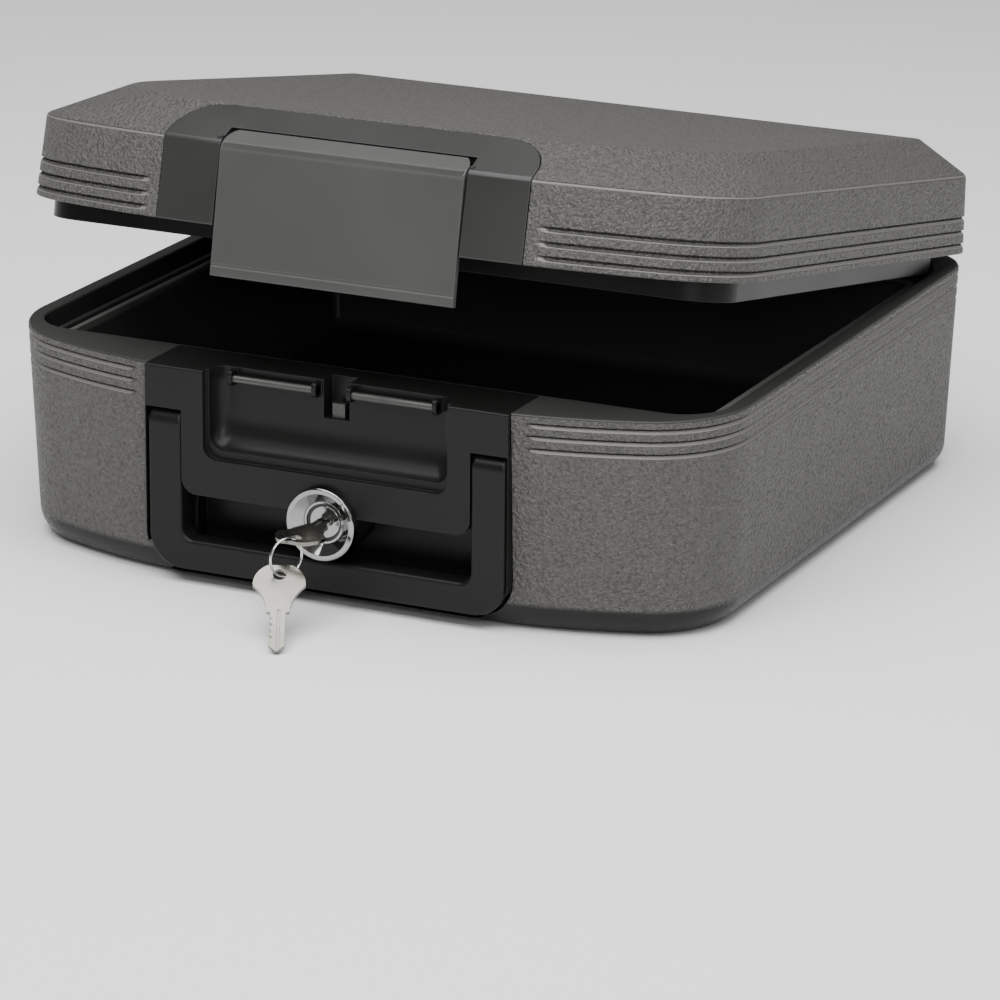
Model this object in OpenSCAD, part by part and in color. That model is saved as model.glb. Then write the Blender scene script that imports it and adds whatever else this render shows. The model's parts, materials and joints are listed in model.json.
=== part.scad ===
// Fire-resistant document box: a filled double-wall base and lid, a front latch
// flap, a folding carry handle and a key lock.
// The origin is the middle of the bottom face. +Z is up and the front looks to -Y.

/* [Case] */
// Width across the sides
case_w = 391; // [380:1:400]
// Depth from the front panel to the back wall
case_d = 375; // [370:1:382]
// Height of the base at its rim
base_h = 111; // [109:1:114]
// Height of the lid's upright wall
lid_wall_h = 41; // [38:1:44]
// Height of the sloped band round the lid's top
bevel_h = 17; // [15:1:19]
// Width of that sloped band
bevel_w = 29; // [26:1:31]
// Wall thickness of the moulded shells
wall = 3; // [2.6:0.1:3.4]
// Radius of the base's bottom edge
bottom_r = 14; // [12:1:16]

/* [Lid] */
// How far the lid stands open at rest, in degrees
lid_rest = 10.7; // [10:0.1:12]
// Distance of the hinge axis behind the back wall
hinge_back = 6; // [5.8:0.1:6.4]
// Height of the hinge axis
hinge_z = 86; // [85:1:87]
// Distance of each hinge from the middle
hinge_x = 118; // [110:1:125]

/* [Front] */
// Half width of the front panel
panel_half = 98.5; // [97:0.5:100]
// Half width of the latch recess
recess_half = 66.5; // [66:0.5:68]
// Height of the lock's centre
lock_z = 43; // [42:0.5:44]
// Height of the handle's pivot
handle_z = 81; // [80.5:0.5:81.5]

/* [Hidden] */

front_y = -case_d / 2;
back_y = case_d / 2;
half_w = case_w / 2;
gap = 0.4;

// Front outline: a flat middle, a gentle arc and a tight corner arc
flat_half = 62;
gentle_r = 275;
tight_r = 53;
rear_r = 30;

// Walls lean in towards the bottom of the base and the top of the lid
base_draft = 5;
lid_draft = 2.3;
lid_z = base_h + gap;
lid_corner_z = lid_z + lid_wall_h;
top_round = 61;
top_z = lid_corner_z + bevel_h;
hinge_y = back_y + hinge_back;

// Rim profile of the base, as distances in from the side walls
deck = 36;
groove_in = 9;
groove_w = 5;
groove_z = base_h - 11.5;
rib_w = 3.4;
rib_z = base_h - 7;
ledge_z = base_h - 10;
tub_in = 24;
tub_floor = 38;
tub_slope = 10;
land_front = front_y + deck + 1.5;
land_back = back_y - 20;
land_r = 24;

lid_cavity_in = 32;
lid_cavity_h = 26;

// Handle
handle_outer = 97.3;
leg_w = 18.4;
handle_top = 88.4;
handle_low = 7;
bar_top = 23;
handle_t = 12.5;
handle_y = front_y + 6.2;
pin_r = 2.5;
fit_clear = 0.05;

// Front panel
panel_bottom = 6;
panel_back = front_y + deck;
recess_depth = 14;
recess_floor = 66;
grip_bottom = handle_low + 2;
grip_top = 47;
grip_depth = 24;
grip_half = 77.5;
channel_depth = 14.2;
channel_top = 89.5;
skin = 3;
island_half = grip_half + 1;
lap = 0.5;
pocket_back = front_y + 43.5;
boss_x = 88;
boss_heights = [26, 84];
hollow_y = front_y + recess_depth + skin;

// Hinge screws
base_screw_z = 68;
lid_screw_z = 131;

trim_screw_x = 84;
trim_screw_y = front_y + 13;

// Lock
lock_y = front_y - 4.6;
bezel_r = 18.5;
boss_r = 17;
housing_r = 11;
plug_r = 8.2;
plug_face = front_y + 1;
housing_back = front_y + 33;
cam_t = 2.5;
cam_y = housing_back + 3.6;
cam_reach = 9;
bolt_travel = 8;
bolt_top = 99;
bolt_w = 6.8;
bolt_y = front_y + 16.2;
bolt_t = 3.4;
crank_z = 62;
foot_t = 2;
guide_z = 81;
tail_r = 4;
slot_half = 7;
slot_floor = 91.5;
slot_depth = 23.5;

// Keys
bow_r = 12.8;
bow_y = front_y - 24;
hole_in = 5.5;
hole_y = bow_y - hole_in;
hole_r = 3.2;
key_t = 1.8;
blade_w = 7.6;
ring_r = 9.6;
wire_r = 0.8;
ring_turn = 65;
ring_drop = 7.6;
ring_shift = sqrt(pow(ring_r, 2) - pow(ring_drop, 2));
spare_at = 245;
spare_pitch = 32.5;
spare_turn = 25;

// Latch flap
flap_half = 65.5;
flap_t = 3.4;
flap_low = 87;
flap_pin_y = front_y + 8;
flap_pin_z = lid_corner_z - 3;
flap_pin_r = 2;
flap_end_y = front_y + 12;
flap_end_z = lid_corner_z + (flap_end_y - front_y - lid_draft) * bevel_h / (bevel_w - lid_draft);
flap_sweep_r = norm([flap_end_y - flap_pin_y, flap_end_z - flap_pin_z]) + 0.5;
lip_half = recess_half - 5;
bar_x = 10.5;
bar_len = 44;
bar_r = 2;
catch_y = front_y + 10.5;
catch_z = base_h - 5;

function arc(c, r, a0, a1, n) =
    [for (i = [0:n]) let (a = a0 + (a1 - a0) * i / n) c + r * [cos(a), sin(a)]];
function mirrored(pts) = [for (i = [len(pts) - 1:-1:0]) [-pts[i][0], pts[i][1]]];

// Right half of the case outline, moved in by d, from the front middle to the back.
// The corner arc at the front is larger by extra.
function half_outline(d, extra) =
    let (
        r = tight_r - d + extra,
        side = half_w - d - r - flat_half,
        reach = gentle_r - d - r,
        end = acos(side / reach)
    )
    concat(
        arc([flat_half, front_y + gentle_r], gentle_r - d, -90, -end, 4),
        arc([flat_half + side, front_y + gentle_r - reach * sin(end)], r, -end, 0, 9),
        arc([half_w - rear_r, back_y - rear_r], rear_r - d, 0, 90, 5));

module outline(d = 0, extra = 0)
    polygon(concat(half_outline(d, extra), mirrored(half_outline(d, extra))));

// Rounded rectangle from [x0, y0] to [x1, y1] with true arcs
module round_rect(x0, y0, x1, y1, r) {
    translate([x0 + r, y0]) square([x1 - x0 - 2 * r, y1 - y0]);
    translate([x0, y0 + r]) square([x1 - x0, y1 - y0 - 2 * r]);
    for (x = [x0 + r, x1 - r], y = [y0 + r, y1 - r]) translate([x, y]) circle(r, $fn = 48);
}

// The land inside the rim, moved in by d
module land(d) {
    round_rect(-(half_w - groove_in) + d, land_front + d, half_w - groove_in - d,
        land_back - d, max(land_r - d, 4));
}

module slab(z, d, extra = 0) translate([0, 0, z]) linear_extrude(0.01) outline(d, extra);

// The base's outer form, or its cavity for a wall of t
module base_form(t = 0) {
    r = bottom_r - t;
    low = base_draft * (1 - bottom_r / base_h);
    hull() {
        for (a = [0:22.5:90]) slab(t + r * (1 - sin(a)), t + low + r * (1 - cos(a)));
        slab(t > 0 ? base_h + 1 : base_h - 0.01, t);
    }
}

// The closed lid's outer form, or its cavity for a wall of t
module lid_form(t = 0) {
    hull() {
        slab(t > 0 ? lid_z - 1 : lid_z, t);
        slab(lid_corner_z - t * 0.6, lid_draft + t);
        slab(top_z - t - 0.01, bevel_w + t, top_round);
    }
}

// Turns the lid's parts from closed to the rest position
module opened() {
    translate([0, hinge_y, hinge_z]) rotate([-lid_rest, 0, 0]) translate([0, -hinge_y, -hinge_z])
        children();
}

module x_rod(x0, x1, y, z, r)
    translate([x0, y, z]) rotate([0, 90, 0]) cylinder(r = r, h = x1 - x0, $fn = 48);
module y_rod(x, y0, y1, z, r)
    translate([x, y0, z]) rotate([-90, 0, 0]) cylinder(r = r, h = y1 - y0, $fn = 64);
module box(lo, hi) translate(lo) cube(hi - lo);

// A shape drawn in front view, from depth y0 to depth y1
module front_shape(y0, y1) translate([0, y1, 0]) rotate([90, 0, 0]) linear_extrude(y1 - y0) children();

module panel_outline(d = 0) {
    intersection() {
        round_rect(-panel_half + d, panel_bottom + d, panel_half - d, base_h + 40, 20);
        translate([-panel_half, 0]) square([2 * panel_half, base_h]);
    }
}

// A pan-head screw driven towards -Y, with its head seated at y
module rear_screw(x, y, z, r, len) {
    y_rod(x, y - len, y, z, r);
    y_rod(x, y, y + 1.6, z, r * 1.9);
}

module base_shell() {
    color("#585752") difference() {
        base_form();
        base_form(wall);
        front_shape(front_y - 10, panel_back + 0.3) panel_outline(-0.3);
        box([-panel_half - 0.3, front_y - 10, base_h - 1],
            [panel_half + 0.3, panel_back + 0.3, base_h + 1]);
        for (x = [-hinge_x, hinge_x]) hinge_screw_set(x, base_screw_z, 1.98);
    }
    // closed pocket behind the front panel
    color("#585752") difference() {
        intersection() {
            base_form(wall - 0.4);
            box([-panel_half - wall, front_y, 0.1],
                [panel_half + wall, pocket_back + wall, groove_z - 2.5]);
        }
        box([-panel_half - 0.3, front_y - 1, -1], [panel_half + 0.3, pocket_back, base_h]);
        for (s = [-1, 1], z = boss_heights)
            y_rod(s * boss_x, pocket_back - 1, pocket_back + wall + 1, z, 1.8);
    }
    // flat pads on the back wall for the hinge leaves
    color("#585752") for (x = [-hinge_x, hinge_x]) difference() {
        box([x - 22, back_y - 4.4, 56], [x + 22, back_y, 98]);
        base_form();
        hinge_screw_set(x, base_screw_z, 1.98);
    }
}

module hinge_screw_set(x, z, r) for (dx = [-13, 13]) y_rod(x + dx, back_y - 14, back_y + 8, z, r);

module tub_form(t = 0) {
    hull() {
        translate([0, 0, ledge_z - 0.01]) linear_extrude(0.01) land(tub_in - groove_in - t);
        translate([0, 0, tub_floor - t]) linear_extrude(0.01) land(tub_in - groove_in - t + tub_slope);
    }
}

// Tub walls and floor
module base_tub() {
    color("#242423") difference() {
        tub_form(2.5);
        tub_form(0);
    }
}

// Flange, seal groove, rib and ledge round the tub's mouth
module rim_frame() {
    color("#242423") difference() {
        intersection() {
            base_form(wall);
            translate([0, 0, groove_z - 2.5]) linear_extrude(base_h - groove_z + 2.5) outline(0);
        }
        tub_form(2.5);
        box([-panel_half, front_y, 0], [panel_half, panel_back, base_h + 1]);
        translate([0, 0, rib_z]) linear_extrude(20) land(0);
        translate([0, 0, groove_z]) linear_extrude(20) difference() { land(0); land(groove_w); }
        translate([0, 0, ledge_z]) linear_extrude(20) land(groove_w + rib_w);
    }
}

module base_insulation() {
    color("#b9b6ad") difference() {
        intersection() {
            base_form(wall);
            translate([0, 0, -1]) linear_extrude(groove_z - 2.5 + 1) outline(0);
        }
        tub_form(2.5);
        box([-panel_half - wall, front_y - 1, 0],
            [panel_half + wall, pocket_back + wall + 1.7, base_h]);
        for (x = [-hinge_x, hinge_x]) hinge_screw_set(x, base_screw_z, 3.2);
    }
}

module rim_gasket() {
    color("#6d6d68") translate([0, 0, ledge_z]) linear_extrude(1.6) difference() {
        land(groove_w + rib_w + 1.6);
        land(groove_w + rib_w + 4.6);
    }
}

module grip_outline() {
    round_rect(-grip_half, grip_bottom, grip_half, grip_top, 9);
}

module channel_outline() {
    difference() {
        round_rect(-panel_half + 0.2, panel_bottom + 0.2, panel_half - 0.2, channel_top, 19);
        round_rect(-island_half, grip_top, island_half, channel_top + 20, 8);
        translate([0, lock_z]) circle(boss_r, $fn = 64);
    }
    for (s = [-1, 1]) translate([s > 0 ? island_half : -panel_half + 0.2, channel_top - 30])
        square([panel_half - island_half - 0.2, 30]);
}

module recess_outline(d = 0)
    round_rect(-recess_half - d, recess_floor - d, recess_half + d, base_h + 30, 7 + d);

// The part of the front moulding that holds the latch recess
module tray_zone()
    box([-island_half, front_y - 1, grip_top - lap], [island_half, panel_back + 1, base_h + 1]);

// The part that backs the finger space behind the handle, round the lock's boss
module pan_zone() difference() {
    box([lap - grip_half, front_y - 1, grip_bottom + lap], [grip_half - lap, panel_back + 1, grip_top - lap]);
    y_rod(0, front_y - 2, panel_back + 2, lock_z, boss_r + 1);
}

module front_panel() {
    color("#282827") difference() {
        front_moulding();
        tray_zone();
        pan_zone();
    }
    color("#282827") for (s = [-1, 1], z = boss_heights) difference() {
        y_rod(s * boss_x, panel_back - 0.1, pocket_back, z, 5);
        y_rod(s * boss_x, panel_back - 1, pocket_back + 1, z, 1.8);
    }
}

module grip_pan() {
    color("#282827") intersection() {
        front_moulding();
        pan_zone();
    }
}

module latch_tray() {
    color("#282827") intersection() {
        front_moulding();
        tray_zone();
    }
    // lugs that hold the ends of each catch bar
    color("#282827") for (s = [-1, 1], x = [bar_x - 2.2, bar_x + bar_len]) difference() {
        box([s > 0 ? x : -x - 2.2, catch_y - 3.2, catch_z - 3.4],
            [s > 0 ? x + 2.2 : -x, front_y + recess_depth, base_h - 0.6]);
        x_rod(s > 0 ? x - 1 : -x - 4, s > 0 ? x + 4 : -x + 1, catch_y, catch_z, bar_r);
    }
}

module front_moulding() {
    difference() {
        front_shape(front_y, panel_back) panel_outline(0);
        // latch recess with a hollow, rounded floor
        front_shape(front_y - 1, front_y + 4) recess_outline();
        front_shape(front_y + 3.9, front_y + recess_depth) recess_outline(-4);
        x_rod(-recess_half + 4, recess_half - 4, front_y + 4, recess_floor + 10, 10);
        // pocket for the lock bolt
        box([-slot_half, front_y + recess_depth - 1, slot_floor],
            [slot_half, front_y + slot_depth, base_h + 1]);
        // finger space behind the handle, and the handle's own channel
        front_shape(front_y - 1, front_y + grip_depth) difference() {
            grip_outline();
            translate([0, lock_z]) circle(boss_r, $fn = 64);
        }
        front_shape(front_y - 1, front_y + channel_depth) channel_outline();
        // hollow at the back for the lock's works
        box([-60, front_y + grip_depth + skin, 16], [60, panel_back + 1, base_h - skin]);
        difference() {
            box([-60, hollow_y, grip_top + skin], [60, panel_back + 1, base_h - skin]);
            box([-slot_half - skin, hollow_y - 1, slot_floor - skin],
                [slot_half + skin, front_y + slot_depth + skin, base_h]);
        }
        box([-bolt_w / 2 - 0.3, bolt_y - 0.3, grip_top + skin],
            [bolt_w / 2 + 0.3, bolt_y + bolt_t + 0.3, slot_floor + 1]);
        for (x = [-12, 12]) y_rod(x, bolt_y - 0.1, panel_back, guide_z, 1.5);
        y_rod(0, front_y - 1, panel_back + 1, lock_z, housing_r);
        y_rod(0, front_y - 1, front_y + 2.2, lock_z, 15.2);
        for (s = [-1, 1]) {
            x_rod(s > 0 ? grip_half - 8 : -panel_half - 1, s > 0 ? panel_half + 1 : -grip_half + 8,
                handle_y, handle_z, pin_r);
            x_rod(s > 0 ? bar_x - 3 : -bar_x - bar_len - 3, s > 0 ? bar_x + bar_len + 3 : -bar_x + 3,
                catch_y, catch_z, bar_r);
            for (z = boss_heights) y_rod(s * boss_x, pocket_back - 13.1, pocket_back, z, 1.8);
        }
    }
}

module panel_screws() {
    color("silver") for (s = [-1, 1], z = boss_heights)
        rear_screw(s * boss_x, pocket_back + wall, z, 1.8, 16);
}

module catch_bars() {
    color("#8a8984") for (s = [-1, 1])
        x_rod(s > 0 ? bar_x - 2.2 : -bar_x - bar_len - 2.2, s > 0 ? bar_x + bar_len + 2.2 : -bar_x + 2.2,
            catch_y, catch_z, bar_r);
}

module handle() {
    color("#2b2b2a") difference() {
        front_shape(front_y, front_y + handle_t) difference() {
            round_rect(-handle_outer, handle_low, handle_outer, handle_top, 18);
            round_rect(-handle_outer + leg_w, bar_top, handle_outer - leg_w, handle_top + 30, 6);
            translate([-handle_outer, handle_top - 18]) square([leg_w / 2, 0.01]);
        }
        for (s = [-1, 1]) x_rod(s * 90 - 12, s * 90 + 12, handle_y, handle_z, pin_r + fit_clear);
        // rounds the tops of the legs about the pivot
        difference() {
            box([-100, front_y - 1, handle_z], [100, front_y + handle_t + 1, handle_top + 1]);
            x_rod(-101, 101, handle_y, handle_z, handle_top - handle_z);
        }
    }
}

module handle_pins() {
    color("silver") for (s = [-1, 1])
        x_rod(s > 0 ? 70 : -98.2, s > 0 ? 98.2 : -70, handle_y, handle_z, pin_r);
}

module lock_bezel() {
    color("#d8d8d8") translate([0, lock_y, lock_z]) rotate([-90, 0, 0]) difference() {
        union() {
            cylinder(r = bezel_r, h = front_y - lock_y, $fn = 96);
            cylinder(r = 15, h = front_y - lock_y + 2.2, $fn = 96);
        }
        translate([0, 0, -0.01])
            cylinder(r1 = bezel_r - 2.6, r2 = housing_r - 1.5, h = plug_face - lock_y, $fn = 96);
        translate([0, 0, -1]) cylinder(r = housing_r - 1.5, h = 20, $fn = 96);
        translate([0, 0, plug_face - lock_y]) cylinder(r = housing_r + 0.1, h = 20, $fn = 96);
    }
}

module lock_housing() {
    color("#a9a9a6") difference() {
        y_rod(0, plug_face, housing_back, lock_z, housing_r - 0.02);
        y_rod(0, plug_face - 1, housing_back + 1, lock_z, plug_r + fit_clear);
    }
}

module lock_nut() {
    color("#a9a9a6") difference() {
        translate([0, front_y + grip_depth + skin, lock_z]) rotate([-90, 30, 0])
            cylinder(r = 15.5, h = 4, $fn = 6);
        y_rod(0, front_y, panel_back + 9, lock_z, housing_r);
    }
}

module lock_plug() {
    color("#c4c4c2") difference() {
        union() {
            y_rod(0, plug_face, housing_back + 0.4, lock_z, plug_r);
            y_rod(0, housing_back + 0.3, cam_y + cam_t, lock_z, tail_r);
        }
        box([-blade_w / 2 - 0.3, plug_face - 1, lock_z - key_t / 2 - 0.3],
            [blade_w / 2 + 0.3, plug_face + 24, lock_z + key_t / 2 + 0.3]);
        y_rod(0, cam_y - 6, cam_y + 20, lock_z, 1.5);
    }
}

module lock_cam() {
    color("#8d8c87") difference() {
        union() {
            front_shape(cam_y, cam_y + cam_t) hull() {
                translate([0, lock_z]) circle(6.5, $fn = 32);
                translate([cam_reach, lock_z]) circle(3.4, $fn = 32);
            }
            y_rod(cam_reach, cam_y - 3, cam_y + 0.1, lock_z, 1.4);
        }
        y_rod(0, cam_y - 1, cam_y + cam_t + 1, lock_z, tail_r);
    }
}

module cam_screw() {
    color("silver") rear_screw(0, cam_y + cam_t, lock_z, 1.5, 7);
}

// Strip that rises into the latch pocket, cranked back to a slotted foot behind the lock
module lock_bolt() {
    foot_y = cam_y - 0.8 - foot_t;
    color("#8d8c87") difference() {
        union() {
            box([-bolt_w / 2, bolt_y, crank_z], [bolt_w / 2, bolt_y + bolt_t, bolt_top]);
            box([-bolt_w / 2, bolt_y, crank_z], [bolt_w / 2, foot_y + foot_t, crank_z + 3]);
            box([-9, foot_y, 29], [14, foot_y + foot_t, crank_z + 3]);
        }
        // slot for the cam's peg and slot that clears the plug's tail
        box([0, foot_y - 1, lock_z - 1.9], [cam_reach + 2.4, foot_y + foot_t + 1, lock_z + 3.9]);
        front_shape(foot_y - 1, foot_y + foot_t + 1)
            round_rect(-tail_r - 0.7, lock_z - tail_r - 0.7 - bolt_travel,
                tail_r + 0.7, lock_z + tail_r + 0.7, tail_r);
    }
}

module bolt_guide() {
    bridge_y = bolt_y + bolt_t + 0.3;
    color("#a9a9a6") difference() {
        union() {
            box([-17, bridge_y, guide_z - 5], [17, bridge_y + 2.4, guide_z + 5]);
            for (x = [-17, 7]) box([x, hollow_y, guide_z - 5], [x + 10, bridge_y, guide_z + 5]);
        }
        for (x = [-12, 12]) y_rod(x, bolt_y, bolt_y + 12, guide_z, 1.5);
    }
}

module bolt_guide_screws() {
    color("silver") for (x = [-12, 12]) rear_screw(x, bolt_y + bolt_t + 2.7, guide_z, 1.5, 5.8);
}

// A key lying flat, with its bow's middle at the origin and its blade along +Y
module key_blank(blade) {
    difference() {
        union() {
            intersection() {
                circle(bow_r, $fn = 64);
                translate([-bow_r, -11.4]) square([2 * bow_r, 14]);
            }
            polygon([[-12.4, 2.5], [12.4, 2.5], [5.6, 11.5], [5.6, 18], [-5.6, 18], [-5.6, 11.5]]);
            translate([-blade_w / 2, 17]) square([blade_w, blade - 12]);
            translate([0, blade + 5]) rotate(45) square(blade_w / sqrt(2), center = true);
        }
        translate([0, -hole_in]) circle(hole_r, $fn = 48);
        for (i = [0:3]) translate([blade_w / 2 + 0.6, 21.5 + i * 3.8]) circle(1.5 + 0.3 * (i % 2), $fn = 24);
    }
}

module key() {
    color("#d0cfca") translate([0, bow_y, lock_z - key_t / 2]) linear_extrude(key_t) key_blank(33);
}

module key_ring() {
    color("silver") translate([0, hole_y, lock_z]) rotate([0, 0, ring_turn])
        translate([-ring_shift, 0, -ring_drop]) rotate([90, 0, 0])
        rotate_extrude($fn = 64) translate([ring_r, 0]) circle(wire_r, $fn = 24);
}

// The spare key hangs on the ring's front and leans forward, its tip just clear of the ground
module spare_key() {
    out = ring_r * cos(spare_at) - ring_shift;
    low = lock_z - ring_drop + ring_r * sin(spare_at);
    color("#d0cfca") translate([out * cos(ring_turn), hole_y + out * sin(ring_turn), low])
        rotate([0, 0, spare_turn]) rotate([spare_pitch, 0, 0]) translate([0, 0, -key_t / 2])
        linear_extrude(key_t) rotate(180) translate([0, hole_in]) key_blank(33);
}

module lid_plan() round_rect(-panel_half - 3, front_y - 20, panel_half + 3, front_y + 27.5, 18);
module lid_front(d = 0) {
    intersection() {
        lid_plan();
        translate([-panel_half + d, front_y - 20]) square([2 * (panel_half - d), 60]);
    }
}

module lid_shell() {
    color("#62615c") opened() difference() {
        lid_form();
        lid_form(wall);
        translate([0, 0, lid_z - 1]) linear_extrude(80) lid_front();
        for (x = [-hinge_x, hinge_x]) hinge_screw_set(x, lid_screw_z, 1.98);
    }
    color("#62615c") opened() for (x = [-hinge_x, hinge_x]) difference() {
        box([x - 22, back_y - 3.4, lid_z], [x + 22, back_y, lid_corner_z - 1]);
        lid_form();
        hinge_screw_set(x, lid_screw_z, 1.98);
    }
}

module lid_cavity(t = 0) {
    hull() {
        translate([0, 0, lid_z - 0.01]) linear_extrude(0.01) land(lid_cavity_in - groove_in - t);
        translate([0, 0, lid_z + lid_cavity_h + t]) linear_extrude(0.01)
            land(lid_cavity_in - groove_in + 12 - t);
    }
}

module lid_liner() {
    color("#242423") opened() {
        difference() {
            union() {
                intersection() {
                    lid_form(wall);
                    translate([0, 0, lid_z]) linear_extrude(2.5) outline(0);
                }
                lid_cavity(2.5);
            }
            translate([0, 0, -0.2]) lid_cavity();
            box([-flap_half - 4, front_y - 1, lid_z - 1], [flap_half + 4, front_y + 22, lid_z + 4]);
            box([-panel_half - 0.3, front_y - 1, lid_z - 1], [panel_half + 0.3, front_y + 7, lid_z + 4]);
            for (s = [-1, 1]) translate([s * trim_screw_x, trim_screw_y, lid_z - 1]) {
                cylinder(r = 3.4, h = 2.4, $fn = 32);
                cylinder(r = 1.8, h = 6, $fn = 32);
            }
        }
    }
}

// Tongue along the front and the sides that drops into the rim
module lid_tongue() {
    color("#242423") opened() translate([0, 0, base_h - 10])
        linear_extrude(lid_z - base_h + 10) difference() {
            land(1.1);
            land(3.9);
            translate([-half_w, back_y - 46]) square([case_w, 60]);
        }
}

module lid_insulation() {
    color("#b9b6ad") opened() difference() {
        intersection() {
            lid_form(wall);
            translate([0, 0, lid_z + 2.5]) linear_extrude(80) outline(0);
        }
        lid_cavity(2.5);
        box([-panel_half - 4, front_y - 1, lid_z - 1], [panel_half + 4, front_y + 31, top_z + 1]);
        for (x = [-hinge_x, hinge_x]) hinge_screw_set(x, lid_screw_z, 3.2);
    }
}

module lid_trim() {
    color("#484846") opened() difference() {
        union() {
            difference() {
                intersection() {
                    lid_form(0);
                    translate([0, 0, lid_z]) linear_extrude(80) lid_front(0.2);
                }
                lid_form(flap_t);
                box([-recess_half, front_y - 1, lid_z - 1], [recess_half, flap_end_y + 0.4, top_z + 1]);
            }
            // pocket behind the flap, and bosses for the screws
            difference() {
                box([-recess_half - 2.4, front_y + 3, lid_z + 2.6],
                    [recess_half + 2.4, front_y + 22, lid_corner_z + 3]);
                box([-recess_half, front_y, lid_z - 1], [recess_half, front_y + 19.6, lid_corner_z + 9]);
            }
            for (s = [-1, 1]) box([s * trim_screw_x - 6, front_y + 4, lid_z + 2.5],
                [s * trim_screw_x + 6, front_y + 19, lid_z + 14]);
        }
        x_rod(-recess_half - 3, recess_half + 3, flap_pin_y, flap_pin_z, flap_pin_r);
        x_rod(-recess_half, recess_half, flap_pin_y, flap_pin_z, flap_sweep_r);
        for (s = [-1, 1]) translate([s * trim_screw_x, trim_screw_y, lid_z])
            cylinder(r = 1.8, h = 11.2, $fn = 32);
    }
}

module trim_screws() {
    color("silver") opened() for (s = [-1, 1])
        translate([s * trim_screw_x, trim_screw_y, lid_z + 0.2]) {
            cylinder(r = 3.4, h = 1.2, $fn = 32);
            cylinder(r = 1.8, h = 11, $fn = 32);
        }
}

module latch_flap() {
    color("#585856") opened() {
        difference() {
            union() {
                box([-flap_half, front_y, flap_low], [flap_half, front_y + flap_t, lid_corner_z - 1]);
                // curl over the sloped band
                front_wrap();
                x_rod(-flap_half, flap_half, flap_pin_y, flap_pin_z, 4);
                box([-flap_half, front_y + 1, flap_pin_z - 3], [flap_half, flap_pin_y, flap_pin_z + 3]);
            }
            x_rod(-flap_half - 1, flap_half + 1, flap_pin_y, flap_pin_z, flap_pin_r + fit_clear);
        }
        // ledges that pass under the catch bars, and the eye for the bolt
        for (x = [-48, 22]) box([x, front_y + flap_t - 0.1, catch_z - bar_r - 6],
            [x + 26, catch_y + 1, catch_z - bar_r - 0.8]);
        difference() {
            box([-6.4, front_y + flap_t - 0.1, 101], [6.4, bolt_y + bolt_t + 3.2, 105]);
            box([-bolt_w / 2 - 0.6, bolt_y - 3, 100], [bolt_w / 2 + 0.6, bolt_y + bolt_t + 1, 106]);
        }
        // lip along the bottom edge
        box([-lip_half, front_y + flap_t - 0.1, flap_low], [lip_half, front_y + flap_t + 2, flap_low + 2]);
    }
}

// The top of the flap follows the lid's sloped band
module front_wrap() {
    intersection() {
        difference() {
            lid_form(0);
            lid_form(flap_t);
        }
        box([-flap_half, front_y - 1, lid_corner_z - 1.5], [flap_half, flap_end_y, top_z]);
    }
}

module latch_pin() {
    color("silver") opened() x_rod(-recess_half - 2.2, recess_half + 2.2, flap_pin_y, flap_pin_z, flap_pin_r);
}

module hinge_knuckle(x0, x1) difference() {
    union() {
        x_rod(x0, x1, hinge_y, hinge_z, 4.8);
        children();
    }
    x_rod(x0 - 1, x1 + 1, hinge_y, hinge_z, 2.5 + fit_clear);
}

module base_hinge_leaves() {
    color("#6f6e6a") for (x = [-hinge_x, hinge_x]) difference() {
        union() {
            hinge_knuckle(x - 10, x + 10)
                box([x - 10, back_y, 76], [x + 10, hinge_y, hinge_z]);
            box([x - 20, back_y, 58], [x + 20, back_y + 2.8, 80]);
        }
        hinge_screw_set(x, base_screw_z, 2);
    }
}

module lid_hinge_leaves() {
    color("#6f6e6a") opened() for (x = [-hinge_x, hinge_x]) difference() {
        union() {
            for (k = [x - 20.4, x + 10.4]) hinge_knuckle(k, k + 10)
                box([k, back_y + 0.3, hinge_z], [k + 10, hinge_y, 98]);
            box([x - 20.4, back_y + 0.3, 94], [x + 20.4, back_y + 3, 148]);
            box([x - 20.4, back_y, lid_z + 1], [x + 20.4, back_y + 0.4, 148]);
        }
        hinge_screw_set(x, lid_screw_z, 2);
    }
}

module hinge_pins() {
    color("silver") opened() for (x = [-hinge_x, hinge_x]) x_rod(x - 21.4, x + 21.4, hinge_y, hinge_z, 2.5);
}

module hinge_screws_at(z, y_seat) {
    for (x = [-hinge_x, hinge_x], dx = [-13, 13])
        rear_screw(x + dx, y_seat, z, 1.96, 12);
}

module base_hinge_screws() color("silver") hinge_screws_at(base_screw_z, back_y + 2.8);
module lid_hinge_screws() color("silver") opened() hinge_screws_at(lid_screw_z, back_y + 3);

base_shell();
base_tub();
rim_frame();
base_insulation();
rim_gasket();
front_panel();
grip_pan();
latch_tray();
panel_screws();
catch_bars();
handle();
handle_pins();
lock_bezel();
lock_housing();
lock_nut();
lock_plug();
lock_cam();
cam_screw();
lock_bolt();
bolt_guide();
bolt_guide_screws();
key();
key_ring();
spare_key();
lid_shell();
lid_liner();
lid_tongue();
lid_insulation();
lid_trim();
trim_screws();
latch_flap();
latch_pin();
base_hinge_leaves();
base_hinge_screws();
lid_hinge_leaves();
lid_hinge_screws();
hinge_pins();
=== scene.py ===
"""Looks for the fire-resistant document box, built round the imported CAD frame.

Lengths inside the shape helpers are millimetres in the frame's own axes: +Z up, the front looks
to -Y. The lid and what rides on it are drawn closed, then turned to where the lid stands at rest.
"""

import json
import math

import bmesh
import bpy
from mathutils import Matrix, Vector


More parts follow.
